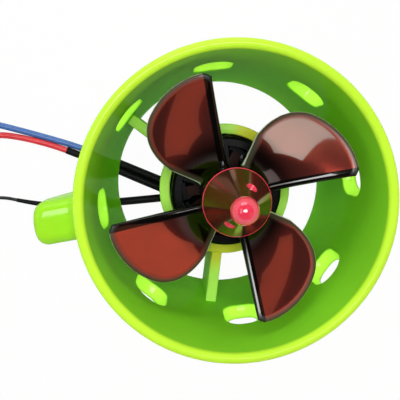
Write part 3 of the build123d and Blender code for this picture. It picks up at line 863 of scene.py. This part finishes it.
def blade_piece(sizes):
    """One blade: a grid bent to its screw surface and thickened, with a rounded edge all round."""
    hub = sizes.hub_radius
    root = hub - 2.0 * mm
    fillet = 1.6 * mm
    full = 4 * mm
    thinnest = 0.12  # share of the thickness that is left at an edge
    deselect()
    bpy.ops.mesh.primitive_grid_add(x_subdivisions=56, y_subdivisions=48, size=2)
    blade = bpy.context.object
    settle(blade)
    weights = blade.vertex_groups.new(name="thickness")
    for point in blade.data.vertices:
        u = (point.co.x + 1) / 2
        v = (point.co.y + 1) / 2
        turn = blade_turn * (0.5 - 0.5 * cos(pi * u))
        r = root + (blade_reach(turn) - root) * sin(pi / 2 * v)
        share = (r - hub) / (prop_high.x - hub)
        pitch = sizes.root_pitch + (sizes.tip_pitch - sizes.root_pitch) * share
        z = sizes.blade_height + sizes.blade_rake * share * abs(share) - pitch * turn / 360
        edge = min(min(to_round_edge(r, turn), r * radians(turn)) / sizes.blade_edge, 1)
        foot = max(1 - (r - hub) / fillet, 0)
        thick = sizes.blade_root + (sizes.blade_tip - sizes.blade_root) * min(max(share, 0), 1)
        thick *= thinnest + (1 - thinnest) * sqrt(1 - (1 - edge)**2)
        thick += fillet * min(foot, 1)**2
        a = radians(turn)
        point.co = (r * cos(a), r * sin(a), z)
        weights.add([point.index], thick / full, "REPLACE")
    modified(blade, "SOLIDIFY", thickness=full, offset=0, vertex_group=weights.name, use_even_offset=False)
    face_outwards(blade)
    return blade


class THRUSTER_OT_propeller(bpy.types.Operator):
    """Models one blade, copies it round the hub and joins them"""
    bl_idname = "thruster.propeller"
    bl_label = "Propeller"

    def execute(self, context):
        sizes, colours, _ = settings()
        low, high = prop_low.z, prop_high.z
        hub = sizes.hub_radius
        bore = 2.1 * mm
        edge = 0.3 * mm
        foot = hub - 0.9 * mm
        knee = sizes.blade_height - 0.3 * mm
        profile = [(bore, low)] + corner((foot - edge, low + edge), edge, -90, 0, 3)
        profile += [(hub, knee), (hub, high), (bore, high)]
        propeller = turned(profile, segments=96)
        first = blade_piece(sizes)
        for n in range(blade_count):
            cut(propeller, spun(copied(first), radians(first_blade + 360 / blade_count * n)), "UNION")
        bpy.data.objects.remove(first)
        propeller.vertex_groups.clear()
        keep_distances(propeller, sizes)
        dress(propeller, "propeller_wheel", "rotor", blade_finish(colours), 40)
        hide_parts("propeller")
        return {"FINISHED"}


class THRUSTER_OT_spinner(bpy.types.Operator):
    """Turns the spinner nut with its cross hole, and the ball on its tip"""
    bl_idname = "thruster.spinner"
    bl_label = "Spinner"

    def execute(self, context):
        sizes, colours, _ = settings()
        low, high = spinner_low.z, spinner_high.z
        wide = spinner_high.x
        bead = sizes.spinner_band / 2
        tip = sizes.spinner_tip
        bore = 2.0 * mm
        point = 0.3 * mm
        profile = [(bore, low)] + corner((wide - bead, low + bead), bead, -90, 60, 8)
        foot = profile[-1]
        profile += [(foot[0] + (tip - foot[0]) * n / 24, foot[1] + (high - foot[1]) * n / 24)
                    for n in range(1, 25)]
        profile += [(point, high)]
        nut = turned(profile, segments=128)
        drill(nut, sizes.bar_hole, 2.4 * wide, (0, 0, sizes.bar_hole_height),
              (pi / 2, 0, sizes.bar_hole_turn + pi / 2))
        bevelled(nut, 0.12 * mm, 2, 50)
        dress(nut, "spinner_cone", "rotor", spinner_finish(sizes, colours), 40)
        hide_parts("spinner_nut")
        radius = ball_high.x
        deselect()
        bpy.ops.mesh.primitive_uv_sphere_add(segments=64, ring_count=40, radius=radius,
                                             location=(0, 0, ball_high.z - radius))
        ball = context.object
        settle(ball)
        bpy.ops.object.mode_set(mode="EDIT")
        bpy.ops.mesh.select_all(action="SELECT")
        bpy.ops.mesh.bisect(plane_co=(0, 0, high), plane_no=(0, 0, 1), use_fill=True, clear_inner=True)
        bpy.ops.object.mode_set(mode="OBJECT")
        pink = coated("ball_pink", colours.ball, 0.1, scale=400, amount=0.06, bump=0.03, Coat_Weight=1.0,
                      Coat_Roughness=0.03)
        dress(ball, "spinner_knob", "rotor", pink, 60)
        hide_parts("spinner_ball")
        return {"FINISHED"}


# Finishes

def lime_plastic(sizes, colours):
    """Glossy lime plastic, with painted shade as a deeper green in its bore, a painted yellow highlight
    round the lip and a painted glow on the windows' sides.
    """
    material = coated("lime_gloss", colours.lime, 0.25, scale=45, amount=0.05, bump=0.1, ripple=320,
                      Specular_IOR_Level=0.0, Coat_Roughness=0.07, Emission_Strength=1.0)
    tree = material.node_tree
    radius, height = place_on_piece(tree)
    rim_z = nozzle_high.z - sizes.lip / 2
    slope = (nozzle_high.x - sizes.lip - sizes.exit_radius) / (rim_z - nozzle_low.z)
    bore = calc(tree, "MULTIPLY_ADD", height, slope, sizes.exit_radius - slope * nozzle_low.z)
    deep = calc(tree, "SUBTRACT", radius, bore)
    outward = ramp(tree, deep, 0.05 * mm, 0.5 * mm)
    # Painted highlight round the lip: a paler, yellower lime near the rim's height
    lip = ramp(tree, height, rim_z - 0.7 * mm, rim_z + 0.4 * mm)
    # Painted glow on the windows' sides: faces inside the wall near the belly height
    near, far = 6 * mm, 8 * mm
    above = ramp(tree, height, sizes.belly_height - far, sizes.belly_height - near)
    below = ramp(tree, height, sizes.belly_height + near, sizes.belly_height + far, 1.0, 0.0)
    inside = ramp(tree, deep, sizes.belly_wall * 0.8, sizes.belly_wall, 1.0, 0.0)
    window = product(tree, outward, product(tree, above, below), inside)
    # Painted shade: the bore gets a deeper green than the outside
    shaded = tinted(tree, outward, colours.lime_bore_painted_shade, colours.lime)
    shaded = tinted(tree, lip, shaded, colours.lime_lip_painted_highlight)
    shaded = tinted(tree, window, shaded, colours.lime_window_painted_glow)
    # Painted glow: the windows' sides emit their brighter lime, though no lamp is there
    glow = tinted(tree, product(tree, window, 0.4), (0, 0, 0), colours.lime_window_painted_glow)
    coat = ramp(tree, deep, 0.3 * mm, 1.5 * mm, 0.09, 0.42)
    return masked(material, shaded, Emission_Color=glow, Coat_Weight=coat)


def pod_plastic(sizes, colours):
    """The pod's plastic, with painted patches of warm light on the cup and the inner ends of its struts,
    towards two directions.
    """
    material = coated("pod_gloss", colours.pod, 0.25, scale=60, amount=0.1, bump=0.1, ripple=320,
                      Specular_IOR_Level=0.0, Coat_Weight=0.1, Coat_Roughness=0.08)
    tree = material.node_tree
    radius, _ = place_on_piece(tree)
    # Painted warm light: patches on the cup and the inner ends of its struts, towards two directions
    near = ramp(tree, radius, sizes.cup_radius, sizes.cup_radius + 7 * mm, 1.0, 0.0)
    way = way_out(tree)
    toward = []
    for a in map(radians, (-95, 50)):
        side = node(tree, "VectorMath", {0: way, 1: (cos(a), sin(a), 0)}, operation="DOT_PRODUCT")
        toward.append(side.outputs["Value"])
    painted_warm_patch = ramp(tree, calc(tree, "MAXIMUM", *toward), 0.86, 0.99)
    return masked(material, tinted(tree, product(tree, near, painted_warm_patch, 0.8), colours.pod, colours.pod_painted_warm_light))


def blade_finish(colours):
    """Polished dark red metal, with painted shade at the roots and painted dark reflections along the
    straight edges; along the round edges a dull band with a painted dark reflection and a painted highlight
    line.
    """
    material = coated("blade_red", colours.red_metal, 0.11, scale=120, amount=0.12, bump=0.04, ripple=220,
                      Metallic=0.88, Coat_Roughness=0.03, Coat_IOR=2.0)
    tree = material.node_tree
    radius, _ = place_on_piece(tree)
    straight = node(tree, "Attribute", attribute_name="straight_edge").outputs["Fac"]
    outline = node(tree, "Attribute", attribute_name="round_edge").outputs["Fac"]
    shaded = colours.red_metal
    # Each band: what it follows, from where to where it fades, how strong it starts, and its colour
    # Painted shade: the roots near the hub turn near-black
    for where, low, high, share, rgb in ((radius, 11.5 * mm, 17.5 * mm, 0.96, colours.shadow),
                                         # Painted dark reflection: a dark band along each round edge
                                         (outline, 0.5, 1.5, 0.9, colours.blade_rim_painted_dark),
                                         # Painted highlight: a pale line along the very edge of each round
                                         # edge
                                         (outline, 0.02, 0.16, 0.9, colours.edge_shine),
                                         # Painted dark reflection: a near-black strip along each straight
                                         # edge
                                         (straight, 1.75, 2.0, 1.0, colours.shadow)):
        shaded = tinted(tree, ramp(tree, where, low, high, share, 0.0), shaded, rgb)
    inner = ramp(tree, radius, 11.5 * mm, 17 * mm, 0.15, 1.0)
    rounded_off = ramp(tree, outline, 0.9, 2.0, 0.08, 1.0)
    squared_off = ramp(tree, straight, 1.75, 2.0, 0.3, 1.0)
    return masked(material, shaded, Coat_Weight=product(tree, inner, rounded_off, squared_off),
                  Roughness=ramp(tree, outline, 0.8, 1.9, 0.55, 0.14),
                  Metallic=ramp(tree, outline, 0.9, 1.9, 0.15, 0.88))


def spinner_finish(sizes, colours):
    """Turned dark red metal, with painted reflection streaks that run to the tip, and painted highlights on
    the bead at its base and in its cross hole.
    """
    material = coated("spinner_red", colours.spinner, 0.2, scale=120, amount=0.1, bump=0.04, ripple=220,
                      Coat_Weight=0.3, Coat_Roughness=0.03, Coat_IOR=1.5)
    tree = material.node_tree
    _, height = place_on_piece(tree)
    # Painted reflection: olive streaks that run to the tip
    streaks = node(tree, "TexNoise", {"Vector": way_out(tree), "Scale": 4.0}).outputs["Fac"]
    shaded = tinted(tree, ramp(tree, streaks, 0.45, 0.6, 0.0, 0.75), colours.spinner, colours.spinner_painted_reflection)
    band = sizes.spinner_band
    # Painted highlight: the bead round the base in bright ball red, not metal
    bead = ramp(tree, height, spinner_low.z + band * 0.9, spinner_low.z + band * 1.2, 1.0, 0.0)
    shaded = tinted(tree, bead, shaded, colours.ball)
    # Painted highlight: the inside of the cross hole in bright ball red, not metal
    along = node(tree, "VectorRotate", {"Vector": object_spot(tree), "Center": (0, 0, sizes.bar_hole_height),
                                        "Angle": -sizes.bar_hole_turn}).outputs["Vector"]
    beside = node(tree, "SeparateXYZ", {"Vector": along}).outputs
    off = away(tree, calc(tree, "SUBTRACT", beside["Z"], sizes.bar_hole_height), beside["Y"])
    hole = ramp(tree, off, sizes.bar_hole + 0.05 * mm, sizes.bar_hole + 0.15 * mm, 1.0, 0.0)
    metal = ramp(tree, calc(tree, "MAXIMUM", hole, bead), 0.0, 1.0, 0.8, 0.0)
    return masked(material, tinted(tree, hole, shaded, colours.ball), Metallic=metal)


# Finishes for the CAD nodes that stay as they are

class THRUSTER_OT_inner_parts(bpy.types.Operator):
    """Gives the CAD's own pieces their finishes"""
    bl_idname = "thruster.inner_parts"
    bl_label = "Inner Parts"

    def execute(self, context):
        colours = settings()[1]
        finishes = [
            ("steel", (0.55, 0.55, 0.57), 0.28, {"scale": 300, "Metallic": 1.0},
             ["base_screws", "rear_bearing_outer", "front_bearing_outer", "rear_bearing_inner",
              "front_bearing_inner", "motor_shaft", "shaft_clip", "drive_pin"]),
            ("knurled_brass", colours.brass, 0.3, {"scale": 400, "amount": 0.1, "Metallic": 1.0},
             ["lug_inserts"]),
            ("dark_aluminium", (0.03, 0.03, 0.033), 0.35, {"scale": 200, "amount": 0.1, "Metallic": 1.0},
             ["motor_base", "prop_spacer"]),
            ("lamination", (0.015, 0.015, 0.016), 0.45, {"scale": 500, "amount": 0.2, "Metallic": 1.0},
             ["stator_core"]),
            # Painted shade: the copper windings are near-black, as in the shade inside the motor bell
            ("winding", (0.015, 0.006, 0.004), 0.4, {"scale": 500, "amount": 0.2, "Metallic": 0.9},
             ["stator_windings"]),
            ("magnet", (0.08, 0.08, 0.085), 0.35, {"scale": 300, "Metallic": 1.0}, ["rotor_magnets"]),
            ("grommet_rubber", colours.sleeve, 0.6, {"scale": 300, "amount": 0.2, "bump": 0.3},
             ["lead_grommet"]),
            ("black_can", colours.black, 0.3,
             {"scale": 300, "amount": 0.3, "bump": 0.1, "ripple": 900, "Specular_IOR_Level": 0.05},
             ["flux_ring", "rotor_bell"]),
        ]
        for name, rgb, rough, values, parts in finishes:
            material = coated(name, rgb, rough, **values)
            for part in parts:
                refinish(part, material)
        return {"FINISHED"}


# Stage

def soft_box(name, place, wide, high, power, target=None, tint=(1, 1, 1), turn=0):
    """A soft box that faces straight down, turned about the vertical, or towards its target."""
    light = bpy.data.lights.new(name, "AREA")
    light.shape = "RECTANGLE"
    light.size = wide
    light.size_y = high
    light.energy = power
    light.color = tint
    lamp = bpy.data.objects.new(name, light)
    bpy.context.scene.collection.objects.link(lamp)
    lamp.location = place
    lamp.rotation_euler.z = turn
    if target:
        lamp.rotation_euler = (Vector(place) - Vector(target)).to_track_quat("Z", "Y").to_euler()


def white_where_seen(tree, lit, direct, mirrored):
    """Mixes a plain white into what the camera sees of the floor, and what gloss and glass show."""
    ray = node(tree, "LightPath").outputs
    other = calc(tree, "MAXIMUM", ray["Is Glossy Ray"], ray["Is Transmission Ray"])
    share = calc(tree, "MULTIPLY_ADD", ray["Is Camera Ray"], direct, product(tree, other, mirrored))
    white = node(tree, "Emission").outputs["Emission"]
    mix = node(tree, "MixShader", {0: share, 1: lit, 2: white})
    tree.links.new(mix.outputs["Shader"], tree.nodes["Material Output"].inputs["Surface"])


class THRUSTER_OT_stage(bpy.types.Operator):
    """Sets up the floor, the even light and the soft boxes"""
    bl_idname = "thruster.stage"
    bl_label = "Stage"

    def execute(self, context):
        studio = settings()[2]
        deselect()
        bpy.ops.mesh.primitive_plane_add(size=6, location=(0, 0, -0.02 * mm))
        floor = context.object
        floor.name = "floor"
        material, tree, shader = new_material("floor_white")
        shader.inputs["Base Color"].default_value = (0.85, 0.85, 0.85, 1)
        shader.inputs["Roughness"].default_value = 0.9
        white_where_seen(tree, shader.outputs["BSDF"], direct=0.965, mirrored=0.4)
        floor.data.materials.append(material)
        world = bpy.data.worlds.new("studio")
        context.scene.world = world
        world.use_nodes = True
        tree = world.node_tree
        up = node(tree, "SeparateXYZ", {"Vector": node(tree, "TexCoord").outputs["Generated"]}).outputs["Z"]
        even = ramp(tree, up, sin(radians(20)), sin(radians(33)), studio.horizon, studio.sky)
        tree.links.new(even, tree.nodes["Background"].inputs["Color"])
        tree.nodes["Background"].inputs["Strength"].default_value = 1.0
        warm = (1.0, 0.31, 0.16)
        cool = (0.65, 1.0, 0.9)
        # Name, place, width, height and power in watts
        soft_box("top_light", (-0.02, 0.07, 0.50), 0.24, 0.16, 1.5 * studio.key)
        soft_box("key_light", (-0.02, 0.42, 0.24), 0.32, 0.2, 0.5 * studio.key, (0, 0, 0.03))
        soft_box("side_light", (-0.234, 0.069, 0.40), 0.118, 0.26, 0.204 * studio.fill, tint=cool,
                 turn=radians(-20))
        soft_box("low_light", (0.31, -0.22, 0.40), 0.26, 0.36, 0.25 * studio.fill, tint=warm)
        soft_box("left_strip", (-0.15, -0.315, 0.40), 0.20, 0.17, 0.05 * studio.fill, tint=warm)
        soft_box("right_strip", (0.22, 0.165, 0.40), 0.13, 0.16, 0.032 * studio.fill, tint=warm)
        context.scene.view_settings.view_transform = "Standard"
        return {"FINISHED"}


class THRUSTER_PT_panel(bpy.types.Panel):
    bl_idname = "THRUSTER_PT_panel"
    bl_label = "Underwater Thruster"
    bl_space_type = "VIEW_3D"
    bl_region_type = "UI"
    bl_category = "Thruster"

    def draw(self, context):
        for group in settings():
            for name in group.__annotations__:
                self.layout.prop(group, name)
        for step in steps:
            self.layout.operator(step.bl_idname)


groups = {"thruster_sizes": ThrusterSizes, "thruster_colours": ThrusterColours,
          "thruster_studio": StudioSettings}
steps = [THRUSTER_OT_camera, THRUSTER_OT_leads, THRUSTER_OT_nozzle, THRUSTER_OT_pod, THRUSTER_OT_propeller,
         THRUSTER_OT_spinner, THRUSTER_OT_inner_parts, THRUSTER_OT_stage]


def register():
    for name, group in groups.items():
        bpy.utils.register_class(group)
        setattr(bpy.types.Scene, name, bpy.props.PointerProperty(type=group))
    for step in (*steps, THRUSTER_PT_panel):
        bpy.utils.register_class(step)


def unregister():
    for step in (THRUSTER_PT_panel, *reversed(steps)):
        bpy.utils.unregister_class(step)
    for name, group in groups.items():
        delattr(bpy.types.Scene, name)
        bpy.utils.unregister_class(group)


def main():
    register()
    bpy.ops.thruster.camera()
    bpy.ops.thruster.leads()
    bpy.ops.thruster.nozzle()
    bpy.ops.thruster.pod()
    bpy.ops.thruster.propeller()
    bpy.ops.thruster.spinner()
    bpy.ops.thruster.inner_parts()
    bpy.ops.thruster.stage()


if __name__ == "__main__":
    main()
